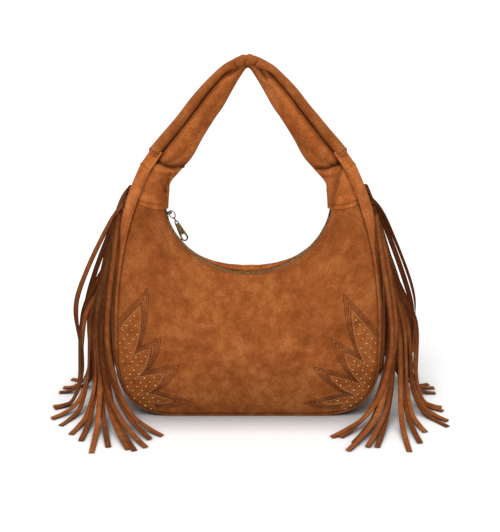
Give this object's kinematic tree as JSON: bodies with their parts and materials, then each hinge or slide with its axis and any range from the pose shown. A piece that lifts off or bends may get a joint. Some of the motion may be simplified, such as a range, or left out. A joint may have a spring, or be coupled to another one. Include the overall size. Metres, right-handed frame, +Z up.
{
  "type": "fringed suede hobo bag",
  "caption": "Slouchy suede hobo bag with a padded shoulder strap, a curved metal zip and long cut fringes on both sides.",
  "frame": {"origin": "centre of the flat base that the bag stands on", "axes": "+X to the right as seen from the front, +Y to the back, +Z up; the front of the bag looks along -Y"},
  "size_m": [0.4738, 0.2323, 0.434],
  "materials": {
    "suede": "matt suede nap",
    "zip_tape": "woven tape",
    "antique_brass": "dull antique",
    "lining": "plain woven cotton"
  },
  "bodies": {
    "bag": {"front_panel": "suede", "back_panel": "suede", "gusset": "suede", "strap_front": "suede", "strap_back": "suede", "strap_outer_strip": "suede", "strap_joint_left": "suede", "strap_joint_right": "suede", "fringe_left_front": "suede", "fringe_left_back": "suede", "fringe_right_front": "suede", "fringe_right_back": "suede", "zip_tape_front": "zip_tape", "zip_tape_back": "zip_tape", "zip_teeth_front": "antique_brass", "zip_teeth_back": "antique_brass", "zip_top_stop_front": "antique_brass", "zip_top_stop_back": "antique_brass", "zip_bottom_stop": "antique_brass", "lining_front": "lining", "lining_back": "lining", "lining_gusset": "lining"},
    "slider": {"zip_slider": "antique_brass"},
    "ring": {"slider_ring": "antique_brass"},
    "link": {"jump_link": "antique_brass"},
    "tab": {"pull_tab": "antique_brass"}
  },
  "joints": [
    {"name": "zip_travel", "type": "hinge", "parent": "bag", "child": "slider", "pos_m": [0, 0, 0.27], "axis": [0, -1, 0], "range_deg": [0, 126]},
    {"name": "ring_swing", "type": "hinge", "parent": "slider", "child": "ring", "pos_m": [-0.09094, 0, 0.24563], "axis": [0, -1, 0], "range_deg": [0, 100]},
    {"name": "link_swing", "type": "hinge", "parent": "ring", "child": "link", "pos_m": [-0.08746, 0, 0.23849], "axis": [0.8988, 0, 0.4384], "range_deg": [-8, 8]},
    {"name": "tab_swing", "type": "hinge", "parent": "link", "child": "tab", "pos_m": [-0.08496, 0, 0.23337], "axis": [0, -1, 0], "range_deg": [0, 60]}
  ]
}
